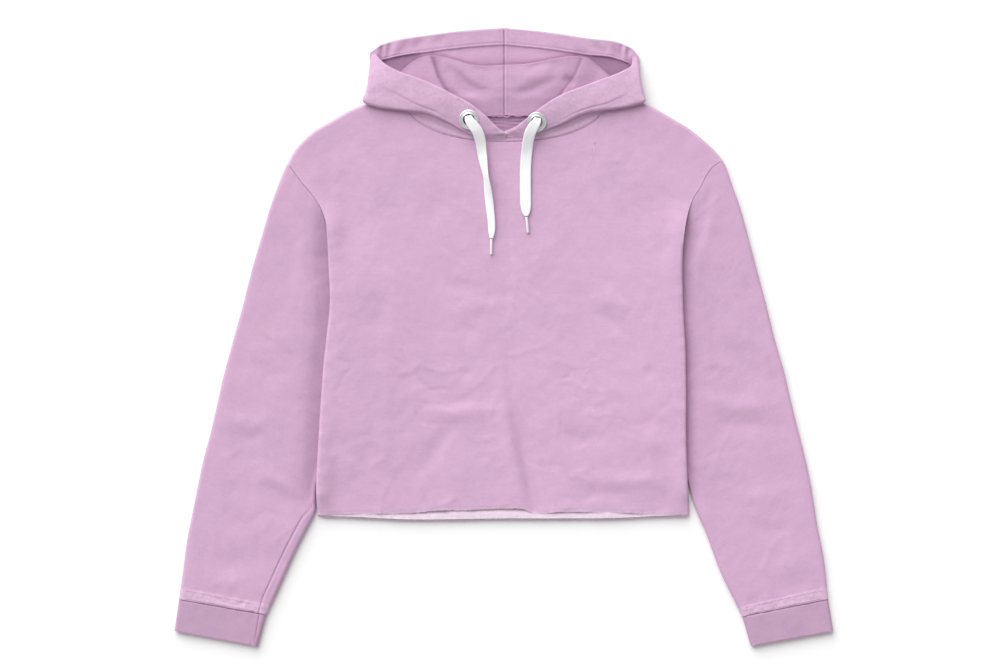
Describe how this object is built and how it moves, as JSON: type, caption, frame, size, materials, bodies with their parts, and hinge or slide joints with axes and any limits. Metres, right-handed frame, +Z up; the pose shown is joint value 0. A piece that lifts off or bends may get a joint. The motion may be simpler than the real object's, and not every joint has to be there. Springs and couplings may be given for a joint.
{
  "type": "cropped hoodie",
  "caption": "Cropped pullover hoodie in brushed fleece, laid flat on its back, with long cuffed sleeves, a raw hem, an open hood and two drawcord ends.",
  "frame": {"origin": "middle of the laid-out garment's box, on the surface it lies on", "axes": "+Z up off the surface, +X across the body to the viewer's right, +Y from the hem up to the hood"},
  "size_m": [0.7579, 0.7116, 0.0227],
  "materials": {
    "fleece": "brushed",
    "cuff_knit": "knitted",
    "braid": "braided",
    "metal": "polished",
    "tip": "smooth"
  },
  "bodies": {
    "root": {"front": "fleece", "back": "fleece", "sleeve_left": "fleece", "sleeve_right": "fleece", "cuff_left": "cuff_knit", "cuff_right": "cuff_knit", "hood_front_left": "fleece", "hood_front_right": "fleece", "hood_back_left": "fleece", "hood_back_right": "fleece", "hood_fold_left": "fleece", "hood_fold_right": "fleece", "eyelet_left": "metal", "eyelet_right": "metal", "drawcord_left": "braid", "drawcord_right": "braid", "aglet_left": "tip", "aglet_right": "tip"}
  },
  "joints": []
}
